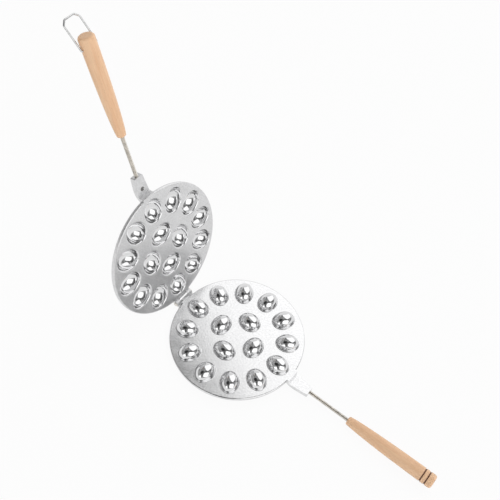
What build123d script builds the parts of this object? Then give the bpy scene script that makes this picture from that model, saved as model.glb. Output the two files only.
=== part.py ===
"""Walnut cookie mould: two round cast plates on one hinge, each with a steel rod and a wooden grip.

Every piece of a half is drawn in the half's own frame, in millimetres: the hinge axis is the Y line
through the origin, X runs out along the handle, the parting plane is Z = 0 and the baking face looks
up. The two halves are then stood as the mould stands open on a table: the half with the bumps lies
on its back, and the half with the cavities leans back on the heels of its hinge ears.
"""

import math
import os

from build123d import *

# ---- plates ----
plate_diameter = 180.0
plate_thickness = 5.0
plate_edge_radius = 1.6
parting_gap = 0.3            # between the two baking faces when the mould is shut
casting_wall = 2.6           # wall left behind each cavity and under each bump

# ---- nut forms: one ring near the rim and four in the middle ----
nut_length = 33.4
nut_width = 27.6
dough_thickness = 1.6        # room between a bump and its cavity
rim_land = 6.1               # rim to the nearest nut forms
ring_land = 9.6              # between the nut forms of the two rings
nut_spacing = 6.0            # least room between neighbours in a ring
mouth_radius = 2.2           # rounding at the mouth of a cavity
foot_radius = 1.2            # rounding at the foot of a bump

# ---- hinge ----
hinge_offset = 4.6           # hinge axis to the nearest point of a plate's rim
open_angle = 105.2           # from shut to the stop
hinge_pin_radius = 2.0
running_clearance = 0.05     # radial, pin in the knuckle
barrel_radius = 4.2
knuckle_width = 14.0
ear_width = 7.0
side_clearance = 0.3         # knuckle to ear
heel_drop = 3.6
stop_gap = 0.15              # heel to the rim that stops it
rivet_head_radius = 3.4
rivet_head_height = 1.3
rivet_head_round = 0.9
hinge_root = 6.0             # how far knuckle and ears run in over the plate

# ---- lug that holds the rod ----
step_from_rim = 2.0          # how far the neck at full height runs out past the rim
lug_length = 27.4            # from that step to the lug's end
lug_root_width = 18.4
lug_end_width = 13.2
lug_recess = 7.5             # parting plane to the lug's inner face
lug_thickness = 7.5
lug_root_bend = 26.0         # radius of the lug's back where it meets the plate
lug_bend_from_step = 12.0    # where that bend ends, measured from the step
lug_corner_radius = 1.5

# ---- rod ----
rod_radius = 2.5
rod_depth = 11.2             # rod axis below the parting plane, at the lug's end
rod_tilt = 1.1               # degrees away from the parting plane
rod_in_lug = 25.8
rod_free_length = 59.5
rod_in_grip = 45.0
bore_spare = 0.5

# ---- screw that locks the rod in the lug ----
face_screw_from_step = 8.9   # in the lug's inner face, on the half with the cavities
back_screw_from_bend = 5.0   # in the lug's back, on the half with the bumps
screw_shank_radius = 1.4
screw_head_radius = 2.9
screw_head_height = 1.2
screw_length = 5.6
screw_sink = 0.2
screw_slot_width = 0.9
screw_slot_depth = 0.6
screw_slot_turn = 60.0       # slot from the handle's line

# ---- wooden grip ----
grip_length = 126.5
grip_root_radius = 5.6
grip_end_radius = 9.3
grip_root_chamfer = 1.0
grip_end_round = 3.2
swell_lift = (0.15, 0.7)     # share of the length, and of the swell, that pulls the slim end up
swell_level = 0.55           # share of the length from which the grip runs nearly straight
groove_places = (9.2, 15.6)  # from the grip's outer end
groove_radius = 0.9

# ---- wire bail ----
wire_radius = 1.1
bail_from_end = 13.0         # pivot hole to the grip's outer end
bail_length = 34.4           # pivot to the crossbar
bail_lean = 29.3             # degrees that the bail hangs back from the grip's line
bail_corner = 4.5
bail_leg_bend = 1.5          # where a leg turns in towards its hole
bail_corner_bend = 3.0       # at both ends of the slanted corners
bail_side_gap = 0.5
bail_in_wood = 5.5

# ---- cutting forms ----
pass_through = 4.0           # length of a drill or slot against the half width that it passes
flat_tolerance = 1e-3
nut_edge_share = (0.9, 2.0)  # size of a nut form's outline against its width

# ---- worked out from the sizes above ----
plate_radius = plate_diameter / 2
plate_centre = plate_radius + hinge_offset
face_z = -parting_gap / 2
back_z = face_z - plate_thickness
step_x = plate_centre + plate_radius + step_from_rim
lug_end_x = step_x + lug_length
lug_back_z = -lug_recess - lug_thickness
outer_ring_radius = plate_radius - rim_land - nut_length / 2
inner_ring_radius = outer_ring_radius - nut_length / 2 - ring_land - nut_width / 2
bump_length = nut_length - 2 * dough_thickness
bump_width = nut_width - 2 * dough_thickness
ear_inner_y = knuckle_width / 2 + side_clearance
ear_middle_y = ear_inner_y + ear_width / 2
ear_outer_y = ear_inner_y + ear_width
grip_start = rod_free_length
grip_end = grip_start + grip_length
pivot_station = grip_end - bail_from_end
bail_leg_y = grip_end_radius + bail_side_gap + wire_radius

# Places a half's frame over the other one, and then swings it to the stop.
shut_place = Rot(180, 0, 0)
open_place = Rot(0, -open_angle, 0) * shut_place
# The line of the rod and the grip, with its own X along the handle from the lug's end face.
handle_place = Pos(lug_end_x, 0, -rod_depth) * Rot(0, rod_tilt, 0)


def nut_ring(ring_radius, nut_size, own_turn):
    """One ring of nut forms of that size along the ring, or a single one where no two fit."""
    half_pitch = (nut_size + nut_spacing) / 2
    if half_pitch >= ring_radius:
        return [Pos(plate_centre, 0, 0)]
    count = int(math.pi / math.asin(half_pitch / ring_radius))
    places = []
    for number in range(count):
        turn = Rot(0, 0, 360.0 * number / count)
        places.append(Pos(plate_centre, 0, 0) * turn * Pos(ring_radius, 0, 0) * Rot(0, 0, own_turn))
    return places


def nut_places():
    """Where each nut form sits on the baking face, its long axis along its own X."""
    outer = nut_ring(outer_ring_radius, nut_width, 0)
    inner = nut_ring(inner_ring_radius, (nut_length + nut_width) / 2, 90)
    return outer + inner


def ellipsoid(length, width, height):
    """A full nut form about its own centre, its long axis along X."""
    return scale(Sphere(1), by=(length / 2, width / 2, height / 2))


def above(form, z):
    """The part of a form over the plane at height z."""
    return form & Pos(0, 0, z + plate_diameter / 2) * Box(plate_diameter, plate_diameter, plate_diameter)


def below(form, z):
    """The part of a form under the plane at height z."""
    return form & Pos(0, 0, z - plate_diameter / 2) * Box(plate_diameter, plate_diameter, plate_diameter)


def at_nuts(form, z):
    """One copy of a form at each nut place, at height z."""
    return [place * Pos(0, 0, z) * form for place in nut_places()]


def disc():
    """The round plate, with soft edges."""
    blank = Pos(plate_centre, 0, (face_z + back_z) / 2) * Cylinder(plate_radius, plate_thickness)
    return fillet(blank.edges().filter_by(GeomType.CIRCLE), plate_edge_radius)


def lug():
    """The neck past the rim and the stepped-down lug: its side outline, narrowed towards its end."""
    middle_z = (face_z + back_z) / 2
    drop = back_z - lug_back_z
    bend_run = math.sqrt(lug_root_bend**2 - (lug_root_bend - drop) ** 2)
    bend_start = step_x + lug_bend_from_step
    root_x = bend_start - bend_run
    neck_x = plate_centre + math.sqrt((plate_radius - plate_edge_radius) ** 2 - (lug_root_width / 2) ** 2)
    half_turn = math.acos((lug_root_bend - drop) / lug_root_bend) / 2
    bend_mid = (
        bend_start - lug_root_bend * math.sin(half_turn),
        lug_back_z + lug_root_bend * (1 - math.cos(half_turn)),
    )
    with BuildSketch(Plane.XZ) as side:
        with BuildLine():
            Polyline(
                (bend_start, lug_back_z),
                (lug_end_x, lug_back_z),
                (lug_end_x, -lug_recess),
                (step_x, -lug_recess),
                (step_x, face_z),
                (neck_x, face_z),
                (neck_x, middle_z),
                (root_x, middle_z),
                (root_x, back_z),
            )
            ThreePointArc((root_x, back_z), bend_mid, (bend_start, lug_back_z))
        make_face()
    with BuildSketch() as plan:
        with BuildLine():
            Polyline(
                (root_x, -lug_root_width / 2),
                (step_x, -lug_root_width / 2),
                (lug_end_x, -lug_end_width / 2),
                (lug_end_x, lug_end_width / 2),
                (step_x, lug_root_width / 2),
                (root_x, lug_root_width / 2),
                close=True,
            )
        make_face()
    bar = extrude(side.sketch, lug_root_width, both=True)
    outline = extrude(plan.sketch, plate_diameter, both=True)
    body = bar & outline
    end_edges = body.edges().filter_by(Axis.Z).sort_by(Axis.X)[-2:]
    return fillet(end_edges, lug_corner_radius)


def rod_bore():
    """The hole in the lug that the rod fills."""
    length = rod_in_lug + rod_radius
    return handle_place * Pos(length / 2 - rod_in_lug, 0, 0) * Rot(0, 90, 0) * Cylinder(rod_radius, length)


def face_screw_place():
    """The seat of the locking screw on the lug's inner face."""
    return Pos(step_x + face_screw_from_step, 0, -lug_recess)


def back_screw_place():
    """The seat of the locking screw on the lug's back."""
    return Pos(step_x + lug_bend_from_step + back_screw_from_bend, 0, lug_back_z) * Rot(180, 0, 0)


def screw_form():
    """The locking screw without its slot: a flat countersunk head on a plain shank."""
    head = Pos(0, 0, -screw_sink - screw_head_height / 2) * Cone(
        screw_shank_radius, screw_head_radius, screw_head_height
    )
    shank_length = screw_length - screw_head_height
    shank_middle = -screw_sink - screw_head_height - shank_length / 2
    return head + Pos(0, 0, shank_middle) * Cylinder(screw_shank_radius, shank_length)


def screw_seat(place):
    """The countersunk hole for the screw, open out to the lug's surface."""
    mouth = Pos(0, 0, -screw_sink / 2) * Cylinder(screw_head_radius, screw_sink)
    return place * (screw_form() + mouth)


def locking_screw(place):
    """A slotted countersunk screw that passes on through the rod's end."""
    slot_middle = -screw_sink - screw_slot_depth / 2
    slot_length = pass_through * screw_head_radius
    slot = Pos(0, 0, slot_middle) * Box(slot_length, screw_slot_width, screw_slot_depth)
    return place * Rot(0, 0, screw_slot_turn) * (screw_form() - slot)


def barrel(middle_y, width):
    """A round hinge eye about the hinge axis, with the root that joins it to the plate."""
    eye = Pos(0, middle_y, 0) * Rot(90, 0, 0) * Cylinder(barrel_radius, width)
    root_height = face_z - back_z
    root_length = hinge_offset + hinge_root
    root = Pos(root_length / 2, middle_y, (face_z + back_z) / 2) * Box(root_length, width, root_height)
    return eye + root


def heel(middle_y):
    """The corner of an ear that meets the other plate's rim when the mould is fully open."""
    rim_distance = plate_centre - math.sqrt(plate_radius**2 - ear_inner_y**2)
    reach = rim_distance - stop_gap
    corner = math.hypot(reach, heel_drop)
    tangent = -math.atan2(heel_drop, reach) - math.acos(barrel_radius / corner)
    with BuildSketch(Plane.XZ) as outline:
        with BuildLine():
            Polyline(
                (0, 0),
                (reach, 0),
                (reach, -heel_drop),
                (barrel_radius * math.cos(tangent), barrel_radius * math.sin(tangent)),
                close=True,
            )
        make_face()
    block = extrude(outline.sketch, ear_width / 2, both=True)
    return open_place.inverse() * Pos(0, middle_y, 0) * block


def pin_bore(radius):
    """A hole along the hinge axis through knuckle and ears."""
    return Rot(90, 0, 0) * Cylinder(radius, pass_through * ear_outer_y)


def nut_edges(body, z, width):
    """The closed edges where the nut forms meet the flat face at height z."""
    smallest, largest = nut_edge_share
    found = []
    for edge in body.edges():
        box = edge.bounding_box()
        flat = abs(box.max.Z - z) < flat_tolerance and abs(box.min.Z - z) < flat_tolerance
        wide = min(box.size.X, box.size.Y) > smallest * width
        short = max(box.size.X, box.size.Y) < largest * width
        if flat and wide and short:
            found.append(edge)
    return found


def cavity_plate():
    """The half with the bowls: round backs stand out behind the plate, one for each bowl."""
    middle = -plate_thickness / 2
    width = nut_width + 2 * casting_wall
    back = below(ellipsoid(nut_length + 2 * casting_wall, width, width), middle)
    bowl = ellipsoid(nut_length, nut_width, nut_width)
    body = disc() + at_nuts(back, face_z) + lug()
    body -= at_nuts(bowl, face_z)
    body = fillet(nut_edges(body, face_z, nut_width), mouth_radius)
    for side in (1, -1):
        body += [barrel(side * ear_middle_y, ear_width), heel(side * ear_middle_y)]
    return body - [pin_bore(hinge_pin_radius), rod_bore(), screw_seat(face_screw_place())]


def bump_plate():
    """The half with the bumps: each is hollow underneath, so its wall heats evenly."""
    middle = -plate_thickness / 2
    bump = above(ellipsoid(bump_length, bump_width, bump_width), middle)
    hollow_height = plate_thickness + bump_width / 2 - casting_wall
    hollow = ellipsoid(bump_length - 2 * casting_wall, bump_width - 2 * casting_wall, 2 * hollow_height)
    body = disc() + at_nuts(bump, face_z)
    body = fillet(nut_edges(body, face_z, bump_width), foot_radius)
    body -= at_nuts(hollow, back_z)
    body += [lug(), barrel(0, knuckle_width)]
    knuckle_bore = pin_bore(hinge_pin_radius + running_clearance)
    return body - [knuckle_bore, rod_bore(), screw_seat(back_screw_place())]


def hinge_pin():
    """The rivet through both ears and the knuckle, with a round head at each end."""
    pin = Rot(90, 0, 0) * Cylinder(hinge_pin_radius, 2 * ear_outer_y)
    for side in (1, -1):
        head = Pos(0, side * (ear_outer_y + rivet_head_height / 2), 0) * Rot(90, 0, 0)
        button = head * Cylinder(rivet_head_radius, rivet_head_height)
        outer = button.edges().filter_by(GeomType.CIRCLE).sort_by(Axis.Y)[-1 if side > 0 else 0]
        pin += fillet(outer, rivet_head_round)
    return pin


def rod(screw_place):
    """The steel rod from inside the lug to inside the grip, drilled for the screw."""
    length = rod_in_lug + rod_free_length + rod_in_grip
    bar = Pos(length / 2 - rod_in_lug, 0, 0) * Rot(0, 90, 0) * Cylinder(rod_radius, length)
    return handle_place * bar - screw_seat(screw_place)


def grip(grooved):
    """The turned wooden grip on its rod, slim at the rod and full at its outer end."""
    slim = (grip_start + grip_root_chamfer, grip_root_radius)
    full = (grip_end - grip_end_round, grip_end_radius)
    lift_length, lift_height = swell_lift
    lifted_radius = grip_root_radius + lift_height * (grip_end_radius - grip_root_radius)
    with BuildSketch(Plane.XZ) as outline:
        with BuildLine():
            Polyline(
                (grip_end, 0),
                (grip_start, 0),
                (grip_start, grip_root_radius - grip_root_chamfer),
                slim,
            )
            Bezier(
                slim,
                (grip_start + lift_length * grip_length, lifted_radius),
                (grip_start + swell_level * grip_length, grip_end_radius),
                full,
            )
            RadiusArc(full, (grip_end, grip_end_radius - grip_end_round), grip_end_round)
            Line((grip_end, grip_end_radius - grip_end_round), (grip_end, 0))
        make_face()
    body = revolve(outline.sketch, Axis.X)
    bore_length = rod_in_grip + bore_spare
    body -= Pos(grip_start + bore_length / 2, 0, 0) * Rot(0, 90, 0) * Cylinder(rod_radius, bore_length)
    if grooved:
        for place in groove_places:
            body -= Pos(grip_end - place, 0, 0) * Rot(0, 90, 0) * Torus(grip_end_radius, groove_radius)
    else:
        hole = Rot(90, 0, 0) * Cylinder(wire_radius + running_clearance, pass_through * grip_end_radius)
        body -= Pos(pivot_station, 0, 0) * hole
    return handle_place * body


def wire_bail():
    """The wire loop: its two ends turn in the grip's cross hole, its legs run past the grip."""
    inner_y = bail_leg_y - bail_side_gap - wire_radius - bail_in_wood
    corner_x = bail_length - bail_corner
    corner_y = bail_leg_y - bail_corner
    half = [(0, inner_y), (0, bail_leg_y), (corner_x, bail_leg_y), (bail_length, corner_y)]
    points = half + [(x, -y) for x, y in reversed(half)]
    bends = [bail_leg_bend] + 4 * [bail_corner_bend] + [bail_leg_bend]
    path = FilletPolyline(*points, radius=bends)
    section = Plane(origin=(0, inner_y, 0), z_dir=(0, 1, 0)) * Circle(wire_radius)
    loop = sweep(section, path=path)
    return handle_place * Pos(pivot_station, 0, 0) * Rot(0, bail_lean, 0) * loop


def lay_angle():
    """How far the bump half tips up to rest on its hinge-side rim and on its grip or its lug."""
    tilt = math.radians(rod_tilt)
    full_station = grip_end - grip_end_round
    grip_x = lug_end_x + full_station * math.cos(tilt) - grip_end_radius * math.sin(tilt)
    grip_low = -rod_depth - full_station * math.sin(tilt) - grip_end_radius * math.cos(tilt)
    rests = [(lug_end_x, lug_back_z), (grip_x, grip_low)]
    steepest = max((back_z - low) / (x - hinge_offset) for x, low in rests)
    return math.degrees(math.atan(steepest))


def build():
    """Every piece in place, by its name."""
    lay_place = Rot(0, -lay_angle(), 0)
    lying = {
        "bump_plate": bump_plate(),
        "bump_rod": rod(back_screw_place()),
        "bump_screw": locking_screw(back_screw_place()),
        "bump_grip": grip(grooved=True),
    }
    leaning = {
        "cavity_plate": cavity_plate(),
        "cavity_rod": rod(face_screw_place()),
        "cavity_screw": locking_screw(face_screw_place()),
        "cavity_grip": grip(grooved=False),
        "wire_bail": wire_bail(),
        "hinge_pin": hinge_pin(),
    }
    pieces = {name: lay_place * shape for name, shape in lying.items()}
    pieces.update({name: lay_place * open_place * shape for name, shape in leaning.items()})
    box = Compound(children=[Compound(shape.wrapped) for shape in pieces.values()]).bounding_box()
    floor = Pos(-(box.min.X + box.max.X) / 2, 0, -box.min.Z)
    return {name: floor * shape for name, shape in pieces.items()}


os.makedirs("parts", exist_ok=True)
for name, shape in build().items():
    export_step(shape, f"parts/{name}.step")
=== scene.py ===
"""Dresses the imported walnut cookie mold: the rods' rolled threads, metal and wood finishes, the stage."""

import math

import bmesh
import bpy
from bpy.props import FloatProperty, FloatVectorProperty, IntProperty, PointerProperty
from bpy.types import Operator, Panel, PropertyGroup
from mathutils import Matrix, Vector


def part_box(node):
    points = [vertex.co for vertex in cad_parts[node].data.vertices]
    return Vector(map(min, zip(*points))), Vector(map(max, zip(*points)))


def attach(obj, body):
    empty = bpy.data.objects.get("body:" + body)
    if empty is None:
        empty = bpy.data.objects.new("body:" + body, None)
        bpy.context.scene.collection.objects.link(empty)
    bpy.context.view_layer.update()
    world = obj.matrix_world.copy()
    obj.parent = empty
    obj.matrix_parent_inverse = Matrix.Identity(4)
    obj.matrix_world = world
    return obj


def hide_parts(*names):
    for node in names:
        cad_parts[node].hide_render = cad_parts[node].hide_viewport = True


bl_info = {
    "name": "Walnut Cookie Mold",
    "version": (1, 0, 0),
    "blender": (4, 5, 0),
    "location": "View3D > Sidebar > Cookie Mold",
    "description": "Threads, finishes and stage for the walnut cookie mold",
    "category": "Object",
}

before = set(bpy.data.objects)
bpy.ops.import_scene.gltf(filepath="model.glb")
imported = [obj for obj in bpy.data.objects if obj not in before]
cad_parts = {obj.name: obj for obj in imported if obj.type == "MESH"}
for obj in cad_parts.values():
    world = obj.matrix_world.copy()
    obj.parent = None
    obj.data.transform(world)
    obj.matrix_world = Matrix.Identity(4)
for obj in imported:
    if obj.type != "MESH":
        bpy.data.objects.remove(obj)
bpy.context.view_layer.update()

MILLIMETRE = 0.001

# ---- where the two halves stand, in millimetres and degrees ----
OPEN_ANGLE = 105.2           # from shut to the stop
LAY_ANGLE = 2.754237         # the bump half tips up to rest on its rim and its grip
PLATE_CENTRE = 94.6          # from the hinge axis
FACE_DEPTH = 0.15            # baking face below the parting plane
LUG_END = 214.0
ROD_DEPTH = 11.2
ROD_TILT = 1.1
ROD_FREE_LENGTH = 59.5
ROD_IN_LUG = 25.8
ROD_IN_GRIP = 45.0
GRIP_LENGTH = 126.5
GROOVE_PLACES = (9.2, 15.6)  # from the grip's outer end

# ---- meshes, in millimetres and degrees ----
SEAM_DISTANCE = 1e-3         # joins one turn of the thread to the next
MERGE_DISTANCE = 1e-4
SHARP_ANGLE = 60

# ---- where the castings' finishes meet: each pair is where one starts and where it is full ----
POLISH_HEIGHT = (0.15, 0.55)  # millimetres off the baking face
POLISH_RADIUS = (86.8, 86.6)  # millimetres from the plate's centre
BOWL_FACING = (-0.02, 0.02)   # how far the surface faces the way the baking face does, from -1 to 1
CAST_FACING = (-0.15, -0.45)

# ---- marks on the castings: fineness in waves a metre, relief in metres ----
MOTTLE_SCALE = 55.0
WAVE_SCALE = 120.0
PIT_SCALE = 260.0
GRAIN_SCALE = 420.0
GRIT_SCALE = 900.0
STROKE_TURN, STROKE_SCALE = 0.6, (14, 900, 200)
SCRATCH_TURN, SCRATCH_SCALE = -0.9, (20, 1600, 400)
BRUSHED_RELIEF = 0.00002
CAST_RELIEF = 0.00012

# ---- grain of the beech: fineness along and across the grip, in waves a metre ----
WANDER_SCALE = (9, 60, 60)
BAND_SCALE = (13, 420, 170)
FIBRE_SCALE = (60, 2600, 2600)
FLECK_SCALE = (260, 1500, 1500)
RING_SCALE = 190.0
PITH_PLACE = (0, 0.006, -0.021)   # middle of the year rings, beside the grip's axis, in metres
END_GRAIN_DEPTH = (0.9, 0.2)      # millimetres from the grip's end
GROOVE_EDGE = (0.00125, 0.00075)  # where the burn starts and is full, from a groove's middle, in metres
GROOVE_WAVER = 0.00012            # how far the burn's edge wavers, in metres
WOOD_RELIEF = 0.00006             # metres

# ---- camera, in the bump half's own frame: its right, down and forward directions ----
CAMERA_RIGHT = (0.7900, 0.6109, 0.0519)
CAMERA_DOWN = (0.5250, -0.6303, -0.5719)
CAMERA_AHEAD = (-0.3167, 0.4791, -0.8186)
CAMERA_PLACE = (370.4, -405.5, 899.9)
CAMERA_LENS = 55.26
CAMERA_SENSOR = 36.0
CAMERA_CLIP = (0.05, 100.0)  # metres

# ---- soft boxes and dark gaps of the light tent, as a polished ball in the mold's place shows them ----
# across, up: place on the ball, from -1 to 1, half width, half height, turn in degrees, radiance
DARK_GAPS = (
    (-0.16, 0.17, 0.15, 0.13, 20.0, 0.035),
    (0.32, 0.17, 0.40, 0.035, 0.0, 0.10),
    (-0.16, -0.38, 0.040, 0.50, -8.5, 0.08),
    (0.74, -0.12, 0.05, 0.20, 15.0, 0.10),
)
SOFT_BOXES = (
    (0.2755, 0.5445, 0.22, 0.36, 39.0, 1.46),
    (0.24, -0.12, 0.215, 0.185, -10.0, 1.70),
    (-0.29, -0.24, 0.105, 0.15, 5.0, 1.70),
    (-0.15, 0.88, 0.60, 0.22, 0.0, 0.90),
)
GAP_SOFTNESS = 0.15         # share of a panel's size over which its edge fades
BOX_SOFTNESS = 0.04
CORNER_POWER = 4.0          # 2 makes a panel oval, and more makes its corners squarer
FOLD_SCALE = 11.0           # folds of the cloth across the ball
FOOT_HEIGHT = (0.36, 0.12)  # where the foot starts to turn white and is white, in radii of the tent
WORLD_LIGHT = 0.95          # radiance past the floor's edge


# ---------------------------------------------------------------------------------------------
# Places
# ---------------------------------------------------------------------------------------------

def hinge_point():
    """The middle of the hinge axis, in metres."""
    low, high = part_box("hinge_pin")
    return (low + high) / 2


def bump_half_place():
    """The bump half's own frame, X out along its handle and its baking face up."""
    return Matrix.Translation(hinge_point()) @ Matrix.Rotation(math.radians(-LAY_ANGLE), 4, "Y")


def cavity_half_place():
    """The cavity half's own frame, swung open to its stop."""
    swing = Matrix.Rotation(math.radians(-OPEN_ANGLE), 4, "Y")
    return bump_half_place() @ swing @ Matrix.Rotation(math.pi, 4, "X")


def handle_place(half):
    """The line of a half's rod and grip, from the lug's end face."""
    start = Vector((LUG_END, 0, -ROD_DEPTH)) * MILLIMETRE
    return half @ Matrix.Translation(start) @ Matrix.Rotation(math.radians(ROD_TILT), 4, "Y")


# ---------------------------------------------------------------------------------------------
# Meshes
# ---------------------------------------------------------------------------------------------

def finish_piece(bm, name, place):
    """Puts a mesh that was built in millimetres in its place and gives its object."""
    bmesh.ops.remove_doubles(bm, verts=bm.verts, dist=MERGE_DISTANCE)
    bmesh.ops.recalc_face_normals(bm, faces=bm.faces)
    bmesh.ops.transform(bm, matrix=place @ Matrix.Scale(MILLIMETRE, 4), verts=bm.verts)
    mesh = bpy.data.meshes.new(name)
    bm.to_mesh(mesh)
    bm.free()
    mesh.shade_smooth()
    mesh.set_sharp_from_angle(angle=math.radians(SHARP_ANGLE))
    piece = bpy.data.objects.new(name, mesh)
    bpy.context.scene.collection.objects.link(piece)
    return piece


def chain(bm, points):
    """Edges through a row of points, ready to spin. Each point is along and out from the axis."""
    verts = [bm.verts.new((along, 0, out)) for along, out in points]
    edges = [bm.edges.new(pair) for pair in zip(verts, verts[1:])]
    return verts + edges


def turn_full(bm, points, steps):
    """A body turned about X from its outline."""
    bmesh.ops.spin(
        bm, geom=chain(bm, points), cent=(0, 0, 0), axis=(1, 0, 0), dvec=(0, 0, 0),
        angle=math.tau, steps=steps, use_merge=True, use_duplicate=False,
    )


def turn_thread(bm, start, end, crest, root, pitch, steps):
    """A rolled thread about X: one pitch of its outline, spun along a helix."""
    quarter, eighth = pitch / 4, pitch / 8
    flank = (pitch - quarter - eighth) / 2
    outline = [
        (start, root),
        (start + quarter, root),
        (start + quarter + flank, crest),
        (start + quarter + flank + eighth, crest),
        (start + pitch, root),
    ]
    turns = round((end - start) / pitch) - 1
    bmesh.ops.spin(
        bm, geom=chain(bm, outline), cent=(0, 0, 0), axis=(1, 0, 0), dvec=(pitch / steps, 0, 0),
        angle=turns * math.tau, steps=turns * steps, use_merge=False, use_duplicate=False,
    )
    bmesh.ops.remove_doubles(bm, verts=bm.verts, dist=SEAM_DISTANCE)
    ends = [edge for edge in bm.edges if edge.is_boundary]
    bmesh.ops.holes_fill(bm, edges=ends, sides=0)


def threaded_rod(name, place, sizes):
    """One rod: its core runs on into lug and grip, and the thread shows between them."""
    bm = bmesh.new()
    turn_thread(
        bm, -sizes.thread_overrun, ROD_FREE_LENGTH + sizes.thread_overrun,
        sizes.crest_radius, sizes.root_radius, sizes.pitch, sizes.thread_steps,
    )
    core = sizes.root_radius - sizes.core_gap
    front, back = -ROD_IN_LUG, ROD_FREE_LENGTH + ROD_IN_GRIP
    turn_full(bm, [
        (front, 0), (front, core - sizes.end_chamfer), (front + sizes.end_chamfer, core),
        (back - sizes.end_chamfer, core), (back, core - sizes.end_chamfer), (back, 0),
    ], sizes.thread_steps)
    return finish_piece(bm, name, place)


# ---------------------------------------------------------------------------------------------
# Materials
# ---------------------------------------------------------------------------------------------

class Shade:
    """A material's or world's nodes, made one after another. Each call gives the new node's output."""

    def __init__(self, tree):
        self.tree = tree

    def add(self, kind, output=0, settings=None, **inputs):
        """A node with its settings, and its inputs by name or as i0, i1 and so on."""
        node = self.tree.nodes.new(kind)
        for key, value in (settings or {}).items():
            setattr(node, key, value)
        for key, value in inputs.items():
            socket = node.inputs[int(key[1:])] if key[0] == "i" and key[1:].isdigit() else node.inputs[key]
            if isinstance(value, bpy.types.NodeSocket):
                self.tree.links.new(value, socket)
            else:
                socket.default_value = value
        return node.outputs[output]

    def math(self, operation, a, b=0.0):
        """One sum on numbers."""
        return self.add("ShaderNodeMath", settings={"operation": operation}, i0=a, i1=b)

    def dot(self, vector, direction):
        """How far a vector reaches along a fixed direction."""
        settings = {"operation": "DOT_PRODUCT"}
        return self.add("ShaderNodeVectorMath", "Value", settings, i0=vector, i1=tuple(direction))

    def step(self, value, low, high, start=0.0, end=1.0):
        """A smooth step from start to end while the value goes from low to high."""
        settings = {"interpolation_type": "SMOOTHSTEP"}
        return self.add("ShaderNodeMapRange", 0, settings, i0=value, i1=low, i2=high, i3=start, i4=end)

    def mix(self, share, a, b):
        """A mix of two numbers."""
        return self.add("ShaderNodeMix", 0, {"data_type": "FLOAT"}, i0=share, i2=a, i3=b)

    def mix_colour(self, share, a, b, blend="MIX"):
        """A mix of two colours."""
        settings = {"data_type": "RGBA", "blend_type": blend}
        return self.add("ShaderNodeMix", 2, settings, i0=share, i6=a, i7=b)

    def noise(self, vector, scale, detail=2.0, roughness=0.5, distortion=0.0):
        """Soft noise from 0 to 1."""
        return self.add(
            "ShaderNodeTexNoise", 0, None,
            Vector=vector, Scale=scale, Detail=detail, Roughness=roughness, Distortion=distortion,
        )

    def own_place(self, place, stretch=None):
        """A piece's Object coordinates in the frame that place gives, in metres and then stretched."""
        coordinates = self.add("ShaderNodeTexCoord", "Object")
        moved = self.add(
            "ShaderNodeMapping", 0, {"vector_type": "TEXTURE"},
            i0=coordinates, i1=place.to_translation(), i2=place.to_euler(),
        )
        if stretch is None:
            return moved
        return self.add("ShaderNodeMapping", 0, {"vector_type": "POINT"}, i0=moved, i3=stretch)

    def bump(self, height, distance, strength, normal=None):
        """Small relief, its distance in metres."""
        inputs = {"Height": height, "Distance": distance, "Strength": strength}
        if normal is not None:
            inputs["Normal"] = normal
        return self.add("ShaderNodeBump", 0, None, **inputs)

    def show(self, shader):
        """Makes a shader the surface of a material that had no nodes."""
        output = self.tree.nodes.new("ShaderNodeOutputMaterial")
        self.tree.links.new(shader, output.inputs["Surface"])


def new_material(name):
    """An empty node material and its shader."""
    material = bpy.data.materials.new(name)
    material.use_nodes = True
    tree = material.node_tree
    return material, Shade(tree), tree.nodes["Principled BSDF"]


def connect(shade, shader, **inputs):
    """Links outputs, or sets numbers, on the shader's own sockets."""
    names = {"colour": "Base Color", "metal": "Metallic", "rough": "Roughness", "normal": "Normal"}
    for key, value in inputs.items():
        socket = shader.inputs[names[key]]
        if isinstance(value, bpy.types.NodeSocket):
            shade.tree.links.new(value, socket)
        else:
            socket.default_value = value


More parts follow.
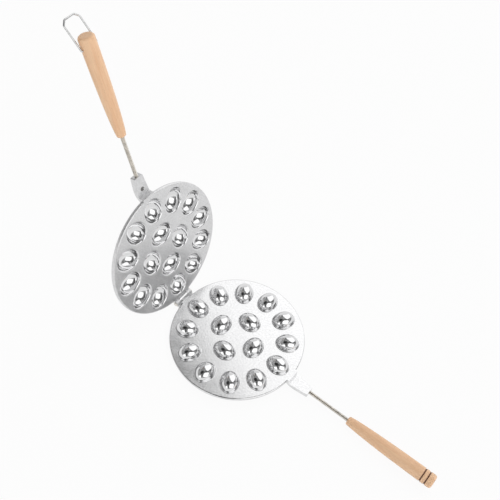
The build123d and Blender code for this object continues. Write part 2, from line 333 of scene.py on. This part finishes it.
def plate_finish(name, half, bowls, satin_roughness, looks):
    """Cast aluminium: a brushed satin baking face, polished nut forms and a dull cast back."""
    material, shade, shader = new_material(name)
    own = shade.own_place(half)
    parts = shade.add("ShaderNodeSeparateXYZ", 0, None, i0=own).node.outputs
    height = shade.math("ADD", parts[2], FACE_DEPTH * MILLIMETRE)
    across = shade.math("SUBTRACT", parts[0], PLATE_CENTRE * MILLIMETRE)
    squares = shade.math("ADD", shade.math("POWER", across, 2.0), shade.math("POWER", parts[1], 2.0))
    inside = shade.step(shade.math("SQRT", squares), *(reach * MILLIMETRE for reach in POLISH_RADIUS))
    facing = shade.dot(shade.add("ShaderNodeTexCoord", "Normal"), half.to_3x3().col[2])
    side = -MILLIMETRE if bowls else MILLIMETRE
    form = shade.step(height, *(reach * side for reach in POLISH_HEIGHT))
    if bowls:
        form = shade.math("MULTIPLY", form, shade.step(facing, *BOWL_FACING))
    polished = shade.math("MULTIPLY", form, inside)
    cast = shade.math("MULTIPLY", shade.step(facing, *CAST_FACING), shade.math("SUBTRACT", 1.0, polished))
    brushed = shade.math("SUBTRACT", 1.0, shade.math("MAXIMUM", cast, polished))

    mottle = shade.noise(own, MOTTLE_SCALE, 4.0, 0.6)
    strokes = shade.own_place(half @ Matrix.Rotation(STROKE_TURN, 4, "Z"), STROKE_SCALE)
    strokes = shade.noise(strokes, 1.0, 3.0, 0.7)
    scratches = shade.own_place(half @ Matrix.Rotation(SCRATCH_TURN, 4, "Z"), SCRATCH_SCALE)
    scratches = shade.noise(scratches, 1.0, 2.0, 0.6)
    grain = shade.noise(own, GRAIN_SCALE, 3.0, 0.6)
    grit = shade.noise(own, GRIT_SCALE, 2.0, 0.6)
    pits = shade.noise(own, PIT_SCALE, 3.0, 0.65)

    tone = shade.step(mottle, 0.3, 0.7, 0.95, 1.03)
    tone = shade.math("MULTIPLY", tone, shade.step(strokes, 0.25, 0.75, 0.93, 1.05))
    tone = shade.math("MULTIPLY", tone, shade.step(grain, 0.3, 0.7, 0.92, 1.05))
    satin = shade.mix_colour(1.0, (*looks.satin_colour, 1), tone, "MULTIPLY")
    back_tone = shade.step(pits, 0.3, 0.75, 0.82, 1.05)
    back = shade.mix_colour(1.0, (*looks.cast_colour, 1), back_tone, "MULTIPLY")
    colour = shade.mix_colour(cast, satin, back)
    colour = shade.mix_colour(polished, colour, (*looks.polished_colour, 1))

    satin_rough = shade.math("ADD", shade.step(strokes, 0.2, 0.8, -0.06, 0.06), satin_roughness)
    satin_rough = shade.math("ADD", satin_rough, shade.step(mottle, 0.3, 0.7, -0.03, 0.04))
    rough = shade.mix(cast, satin_rough, shade.step(grit, 0.2, 0.8, 0.42, 0.58))
    rough = shade.mix(polished, rough, shade.step(mottle, 0.25, 0.75, 0.045, 0.085))

    relief = shade.math("ADD", strokes, shade.math("MULTIPLY", scratches, 0.6))
    relief = shade.math("ADD", relief, shade.math("MULTIPLY", grain, 4.0))
    normal = shade.bump(shade.math("MULTIPLY", relief, brushed), BRUSHED_RELIEF, 0.35)
    relief = shade.math("MULTIPLY", shade.math("ADD", grit, pits), cast)
    normal = shade.bump(relief, CAST_RELIEF, 0.5, normal)
    relief = shade.math("MULTIPLY", shade.noise(own, WAVE_SCALE, 1.0, 0.4), polished)
    normal = shade.bump(relief, CAST_RELIEF, 0.18, normal)
    connect(shade, shader, colour=colour, metal=1.0, rough=rough, normal=normal)
    return material


def steel_finish(name, colour, rough, scale):
    """Plated or drawn steel with faint clouding and handling marks."""
    material, shade, shader = new_material(name)
    own = shade.add("ShaderNodeTexCoord", "Object")
    clouds = shade.noise(own, scale, 4.0, 0.6)
    marks = shade.noise(own, scale * 9, 2.0, 0.5)
    tone = shade.step(clouds, 0.3, 0.7, 0.86, 1.06)
    tone = shade.math("MULTIPLY", tone, shade.step(marks, 0.3, 0.7, 0.94, 1.04))
    tinted = shade.mix_colour(1.0, (*colour, 1), tone, "MULTIPLY")
    roughness = shade.math("ADD", shade.step(marks, 0.25, 0.75, -0.05, 0.08), rough)
    normal = shade.bump(marks, BRUSHED_RELIEF, 0.3)
    connect(shade, shader, colour=tinted, metal=1.0, rough=roughness, normal=normal)
    return material


def wood_finish(name, handle, looks, burnt):
    """Turned beech: straight grain along the grip, short dark flecks, end grain, and burnt grooves."""
    material, shade, shader = new_material(name)
    own = shade.own_place(handle)
    station = shade.add("ShaderNodeSeparateXYZ", 0, None, i0=own)
    wander = shade.noise(shade.own_place(handle, WANDER_SCALE), 1.0, 2.0, 0.5)
    grain = shade.noise(shade.own_place(handle, BAND_SCALE), 1.0, 4.0, 0.62, 0.6)
    fibre = shade.noise(shade.own_place(handle, FIBRE_SCALE), 1.0, 3.0, 0.6)
    flecks = shade.add(
        "ShaderNodeTexVoronoi", 0, {"feature": "F1"},
        Vector=shade.own_place(handle, FLECK_SCALE), Scale=1.0, Randomness=1.0,
    )
    fleck = shade.math("MULTIPLY", shade.step(flecks, 0.34, 0.12), shade.step(fibre, 0.45, 0.6))
    band = shade.math("ADD", shade.math("MULTIPLY", grain, 0.7), shade.math("MULTIPLY", wander, 0.3))
    colour = shade.mix_colour(shade.step(band, 0.36, 0.62), (*looks.wood_dark, 1), (*looks.wood_light, 1))
    colour = shade.mix_colour(shade.step(fibre, 0.35, 0.75, 0.0, 0.22), colour, (*looks.wood_deep, 1))
    colour = shade.mix_colour(shade.math("MULTIPLY", fleck, 0.45), colour, (*looks.wood_deep, 1))

    end = ROD_FREE_LENGTH + GRIP_LENGTH
    rings = shade.add(
        "ShaderNodeTexWave", 1, {"wave_type": "RINGS", "rings_direction": "X", "wave_profile": "SAW"},
        Vector=shade.own_place(handle @ Matrix.Translation(PITH_PLACE)),
        Scale=RING_SCALE, Distortion=1.6, Detail=2.0,
    )
    on_end = shade.step(station, *((end - depth) * MILLIMETRE for depth in END_GRAIN_DEPTH))
    ring_tone = shade.math("MULTIPLY", shade.step(rings, 0.2, 0.9, 0.0, 0.35), on_end)
    colour = shade.mix_colour(ring_tone, colour, (*looks.wood_deep, 1))

    rough = shade.math("ADD", shade.step(fibre, 0.3, 0.7, -0.05, 0.08), looks.wood_roughness)
    relief = shade.math("ADD", shade.math("MULTIPLY", fibre, 0.6), shade.math("MULTIPLY", grain, 0.4))
    if burnt:
        burn = 0.0
        for place in GROOVE_PLACES:
            distance = shade.math("SUBTRACT", station, (end - place) * MILLIMETRE)
            distance = shade.math("ABSOLUTE", distance)
            uneven = shade.math("ADD", distance, shade.step(wander, 0.3, 0.7, -GROOVE_WAVER, GROOVE_WAVER))
            burn = shade.math("MAXIMUM", burn, shade.step(uneven, *GROOVE_EDGE))
        burn = shade.math("MULTIPLY", burn, shade.step(fibre, 0.2, 0.6, 1.0, 0.86))
        colour = shade.mix_colour(burn, colour, (*looks.burn_colour, 1))
        rough = shade.math("ADD", rough, shade.math("MULTIPLY", burn, 0.2))
    normal = shade.bump(relief, WOOD_RELIEF, 0.35)
    connect(shade, shader, colour=colour, metal=0.0, rough=rough, normal=normal)
    return material


def dress(name, material):
    """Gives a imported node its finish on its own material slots."""
    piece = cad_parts[name]
    for slot in piece.material_slots:
        slot.material = material
    return piece


# ---------------------------------------------------------------------------------------------
# Values a user would change
# ---------------------------------------------------------------------------------------------

class RodSizes(PropertyGroup):
    """Sizes of the threaded rods, in millimetres."""

    crest_radius: FloatProperty(name="Crest radius", description="Outer radius of the thread", default=2.5)
    root_radius: FloatProperty(
        name="Root radius", description="Radius at the bottom of the thread", default=2.02)
    pitch: FloatProperty(name="Pitch", description="Distance from crest to crest", default=0.8)
    thread_steps: IntProperty(name="Steps", description="Faces round one turn of the thread", default=24)
    thread_overrun: FloatProperty(
        name="Overrun", description="Thread that runs on into lug and grip", default=2.0)
    core_gap: FloatProperty(
        name="Core gap", description="Thread root to the plain core inside it", default=0.05)
    end_chamfer: FloatProperty(name="End chamfer", description="Chamfer at the rod's two ends", default=0.4)


class Looks(PropertyGroup):
    """Colours and gloss of the finishes."""

    satin_colour: FloatVectorProperty(
        name="Satin face", description="Brushed baking face",
        subtype="COLOR", default=(0.72, 0.72, 0.725))
    polished_colour: FloatVectorProperty(
        name="Polished forms", description="Polished bumps and bowls",
        subtype="COLOR", default=(0.71, 0.71, 0.715))
    cast_colour: FloatVectorProperty(
        name="Cast back", description="Sand-cast back and edges",
        subtype="COLOR", default=(0.56, 0.56, 0.57))
    bump_face_roughness: FloatProperty(
        name="Bump face", description="Roughness of the face with the bumps",
        default=0.15, subtype="FACTOR")
    bowl_face_roughness: FloatProperty(
        name="Bowl face", description="Roughness of the face with the bowls",
        default=0.36, subtype="FACTOR")
    rod_colour: FloatVectorProperty(
        name="Rods", description="Zinc-plated steel",
        subtype="COLOR", default=(0.77, 0.74, 0.69))
    # Screws: a plain dark steel colour, far darker than the rods, the pin and the wire
    screw_colour: FloatVectorProperty(
        name="Screws", description="Darker steel screws",
        subtype="COLOR", default=(0.22, 0.215, 0.21))
    wire_colour: FloatVectorProperty(
        name="Bail wire", description="Bright drawn wire",
        subtype="COLOR", default=(0.66, 0.66, 0.66))
    wood_light: FloatVectorProperty(
        name="Beech, light", description="Light bands of the grain",
        subtype="COLOR", default=(0.99, 0.66, 0.415))
    wood_dark: FloatVectorProperty(
        name="Beech, dark", description="Dark bands of the grain",
        subtype="COLOR", default=(0.93, 0.565, 0.33))
    wood_deep: FloatVectorProperty(
        name="Beech, flecks", description="Flecks and pores",
        subtype="COLOR", default=(0.54, 0.31, 0.17))
    burn_colour: FloatVectorProperty(
        name="Burnt groove", description="Grooves burnt in the grip",
        subtype="COLOR", default=(0.12, 0.038, 0.02))
    wood_roughness: FloatProperty(
        name="Wood roughness", description="Roughness of the oiled wood",
        default=0.42, subtype="FACTOR")


class StageLevels(PropertyGroup):
    """The floor, and the light tent over it."""

    tent_radius: FloatProperty(
        name="Tent radius", description="Radius of the light tent",
        default=12.0, unit="LENGTH")
    tent_level: FloatProperty(
        name="Tent level", description="Radiance of the tent's plain cloth", default=0.34)
    surround_level: FloatProperty(
        name="Surround level", description="Radiance of the white surround at the tent's foot",
        default=1.05)
    floor_size: FloatProperty(
        name="Floor size", description="Side of the floor",
        default=60.0, unit="LENGTH")
    floor_colour: FloatVectorProperty(
        name="Floor", description="Colour of the floor",
        subtype="COLOR", default=(0.93, 0.93, 0.93))
    floor_glow: FloatProperty(
        name="White share", description="Share of plain white in the floor",
        default=0.93, subtype="FACTOR")


# ---------------------------------------------------------------------------------------------
# Operators
# ---------------------------------------------------------------------------------------------

class MOLD_OT_finish_plates(Operator):
    """Finish the two cast plates: satin faces, polished nut forms, cast backs"""

    bl_idname = "cookie_mold.finish_plates"
    bl_label = "Finish the plates"

    def execute(self, context):
        looks = context.scene.mold_looks
        bump_half, cavity_half = bump_half_place(), cavity_half_place()
        bumps = plate_finish("aluminium_bump_half", bump_half, False, looks.bump_face_roughness, looks)
        dress("bump_plate", bumps)
        bowls = plate_finish("aluminium_cavity_half", cavity_half, True, looks.bowl_face_roughness, looks)
        dress("cavity_plate", bowls)
        return {"FINISHED"}


class MOLD_OT_add_rods(Operator):
    """Turn the two rods with their rolled threads"""

    bl_idname = "cookie_mold.add_rods"
    bl_label = "Add the threaded rods"

    def execute(self, context):
        sizes = context.scene.mold_rods
        steel = steel_finish("zinc_plated_thread", context.scene.mold_looks.rod_colour, 0.30, 180.0)
        for side, half in (("bump", bump_half_place()), ("cavity", cavity_half_place())):
            rod = threaded_rod(f"{side}_threaded_rod", handle_place(half), sizes)
            rod.data.materials.append(steel)
            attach(rod, f"{side}_half")
            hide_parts(f"{side}_rod")
        return {"FINISHED"}


class MOLD_OT_finish_grips(Operator):
    """Finish the two wooden grips and burn the grooves of the lower one"""

    bl_idname = "cookie_mold.finish_grips"
    bl_label = "Finish the grips"

    def execute(self, context):
        looks = context.scene.mold_looks
        dress("bump_grip", wood_finish("beech_grooved", handle_place(bump_half_place()), looks, True))
        dress("cavity_grip", wood_finish("beech_plain", handle_place(cavity_half_place()), looks, False))
        return {"FINISHED"}


class MOLD_OT_finish_hardware(Operator):
    """Finish the hinge rivet, the locking screws and the wire bail"""

    bl_idname = "cookie_mold.finish_hardware"
    bl_label = "Finish the hardware"

    def execute(self, context):
        looks = context.scene.mold_looks
        dress("hinge_pin", steel_finish("zinc_plated_steel", looks.rod_colour, 0.32, 220.0))
        # The screws get their own dark steel colour, far darker than the other steel
        for name in ("bump_screw", "cavity_screw"):
            dress(name, steel_finish(f"darker_{name}", looks.screw_colour, 0.35, 220.0))
        dress("wire_bail", steel_finish("drawn_wire", looks.wire_colour, 0.22, 300.0))
        return {"FINISHED"}


class MOLD_OT_set_stage(Operator):
    """Set the floor, the light tent, the white surround and the camera"""

    bl_idname = "cookie_mold.set_stage"
    bl_label = "Set the stage"

    def execute(self, context):
        levels = context.scene.mold_stage
        add_floor(levels)
        add_tent(levels)
        set_world()
        add_camera()
        context.scene.view_settings.view_transform = "Standard"
        return {"FINISHED"}


def stage_piece(bm, name, material):
    """A floor or backdrop from a finished mesh."""
    mesh = bpy.data.meshes.new(name)
    bm.to_mesh(mesh)
    bm.free()
    mesh.materials.append(material)
    piece = bpy.data.objects.new(name, mesh)
    bpy.context.scene.collection.objects.link(piece)
    return piece


def stage_material(name):
    """A material with no nodes yet, and its nodes."""
    material = bpy.data.materials.new(name)
    material.use_nodes = True
    material.node_tree.nodes.clear()
    return material, Shade(material.node_tree)


def background_rays(shade):
    """1 for a ray that should see the plain white background, or else 0."""
    rays = shade.add("ShaderNodeLightPath").node.outputs
    seen = shade.math("MAXIMUM", rays["Is Camera Ray"], rays["Is Glossy Ray"])
    return shade.math("MAXIMUM", seen, rays["Is Transmission Ray"])


def add_floor(levels):
    """A plain white floor that keeps the object's shadow."""
    material, shade = stage_material("floor_white")
    cloth = shade.add("ShaderNodeBsdfDiffuse", Color=(*levels.floor_colour, 1))
    white = shade.add("ShaderNodeEmission", Color=(1, 1, 1, 1), Strength=1.0)
    share = shade.math("MULTIPLY", background_rays(shade), levels.floor_glow)
    shade.show(shade.add("ShaderNodeMixShader", i0=share, i1=cloth, i2=white))
    bm = bmesh.new()
    bmesh.ops.create_grid(bm, x_segments=1, y_segments=1, size=levels.floor_size / 2)
    stage_piece(bm, "floor", material)


def ball_place(shade, right, up, back):
    """Where a polished ball in the mold's place shows this point of the tent: across and up, -1 to 1."""
    point = shade.add("ShaderNodeTexCoord", "Object")
    ray = shade.add("ShaderNodeVectorMath", 0, {"operation": "NORMALIZE"}, i0=point)
    halfway = shade.add("ShaderNodeVectorMath", 0, {"operation": "ADD"}, i0=ray, i1=tuple(back))
    halfway = shade.add("ShaderNodeVectorMath", 0, {"operation": "NORMALIZE"}, i0=halfway)
    return shade.dot(halfway, right), shade.dot(halfway, up)


def panel_share(shade, across, up, outline, softness):
    """1 inside a round-cornered panel and 0 outside it."""
    x, y, half_width, half_height, turn = outline
    cosine, sine = math.cos(math.radians(turn)), math.sin(math.radians(turn))
    dx, dy = shade.math("SUBTRACT", across, x), shade.math("SUBTRACT", up, y)
    u = shade.math("ADD", shade.math("MULTIPLY", dx, cosine), shade.math("MULTIPLY", dy, sine))
    v = shade.math("SUBTRACT", shade.math("MULTIPLY", dy, cosine), shade.math("MULTIPLY", dx, sine))
    u = shade.math("POWER", shade.math("ABSOLUTE", shade.math("DIVIDE", u, half_width)), CORNER_POWER)
    v = shade.math("POWER", shade.math("ABSOLUTE", shade.math("DIVIDE", v, half_height)), CORNER_POWER)
    size = shade.math("POWER", shade.math("ADD", u, v), 1 / CORNER_POWER)
    return shade.step(size, 1.0 + softness, 1.0 - softness)


def add_tent(levels):
    """A light tent over the floor: plain cloth, its soft boxes, and the dark gaps between them."""
    material, shade = stage_material("tent_cloth")
    across, height = ball_place(shade, *camera_axes())
    flat_height = shade.math("MULTIPLY", height, 0.25)
    folds = shade.add("ShaderNodeCombineXYZ", 0, None, i0=across, i1=flat_height, i2=0.0)
    folds = shade.step(shade.noise(folds, FOLD_SCALE, 3.0), 0.35, 0.65, 0.45, 1.6)
    level = shade.math("MULTIPLY", levels.tent_level, folds)
    for panels, softness in ((DARK_GAPS, GAP_SOFTNESS), (SOFT_BOXES, BOX_SOFTNESS)):
        for *outline, radiance in panels:
            level = shade.mix(panel_share(shade, across, height, outline, softness), level, radiance)
    low = shade.add("ShaderNodeSeparateXYZ", 2, None, i0=shade.add("ShaderNodeTexCoord", "Object"))
    low = shade.math("DIVIDE", low, levels.tent_radius)
    level = shade.mix(shade.step(low, *FOOT_HEIGHT), level, levels.surround_level)
    shade.show(shade.add("ShaderNodeEmission", Color=(1, 1, 1, 1), Strength=level))
    bm = bmesh.new()
    bmesh.ops.create_icosphere(bm, subdivisions=4, radius=levels.tent_radius)
    bmesh.ops.bisect_plane(
        bm, geom=bm.verts[:] + bm.edges[:] + bm.faces[:],
        plane_co=(0, 0, 0), plane_no=(0, 0, 1), clear_inner=True,
    )
    tent = stage_piece(bm, "light_tent", material)
    tent.visible_camera = False


def set_world():
    """A plain white surround: what the camera, metal and glass see past the floor's edge."""
    world = bpy.data.worlds.new("white_surround")
    bpy.context.scene.world = world
    world.use_nodes = True
    tree = world.node_tree
    shade = Shade(tree)
    level = shade.mix(background_rays(shade), WORLD_LIGHT, 1.0)
    background = tree.nodes["Background"]
    background.inputs["Color"].default_value = (1, 1, 1, 1)
    tree.links.new(level, background.inputs["Strength"])


def camera_axes():
    """The camera's right, up and backward directions."""
    turn = bump_half_place().to_3x3()
    return (
        (turn @ Vector(CAMERA_RIGHT)).normalized(),
        (turn @ -Vector(CAMERA_DOWN)).normalized(),
        (turn @ -Vector(CAMERA_AHEAD)).normalized(),
    )


def add_camera():
    """The camera at the photograph's viewing angle."""
    data = bpy.data.cameras.new("photo_camera")
    data.lens = CAMERA_LENS
    data.sensor_width = CAMERA_SENSOR
    data.clip_start, data.clip_end = CAMERA_CLIP
    camera = bpy.data.objects.new("photo_camera", data)
    bpy.context.scene.collection.objects.link(camera)
    axes = Matrix(camera_axes()).transposed().to_4x4()
    place = bump_half_place() @ (Vector(CAMERA_PLACE) * MILLIMETRE)
    camera.matrix_world = Matrix.Translation(place) @ axes
    bpy.context.scene.camera = camera


class MOLD_PT_panel(Panel):
    """Lists the steps that dress the mold"""

    bl_idname = "MOLD_PT_panel"
    bl_label = "Cookie Mold"
    bl_space_type = "VIEW_3D"
    bl_region_type = "UI"
    bl_category = "Cookie Mold"

    def draw(self, context):
        for step in STEPS:
            self.layout.operator(step.bl_idname)


STEPS = (
    MOLD_OT_finish_plates,
    MOLD_OT_add_rods,
    MOLD_OT_finish_grips,
    MOLD_OT_finish_hardware,
    MOLD_OT_set_stage,
)
GROUPS = {"mold_rods": RodSizes, "mold_looks": Looks, "mold_stage": StageLevels}


def register():
    """Adds the classes and the scene's settings to Blender."""
    for group in GROUPS.values():
        bpy.utils.register_class(group)
    for name, group in GROUPS.items():
        setattr(bpy.types.Scene, name, PointerProperty(type=group))
    for step in STEPS:
        bpy.utils.register_class(step)
    bpy.utils.register_class(MOLD_PT_panel)


def unregister():
    """Takes them out again."""
    bpy.utils.unregister_class(MOLD_PT_panel)
    for step in reversed(STEPS):
        bpy.utils.unregister_class(step)
    for name in GROUPS:
        delattr(bpy.types.Scene, name)
    for group in GROUPS.values():
        bpy.utils.unregister_class(group)


def main():
    """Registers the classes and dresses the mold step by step."""
    register()
    bpy.ops.cookie_mold.finish_plates()
    bpy.ops.cookie_mold.add_rods()
    bpy.ops.cookie_mold.finish_grips()
    bpy.ops.cookie_mold.finish_hardware()
    bpy.ops.cookie_mold.set_stage()


if __name__ == "__main__":
    main()
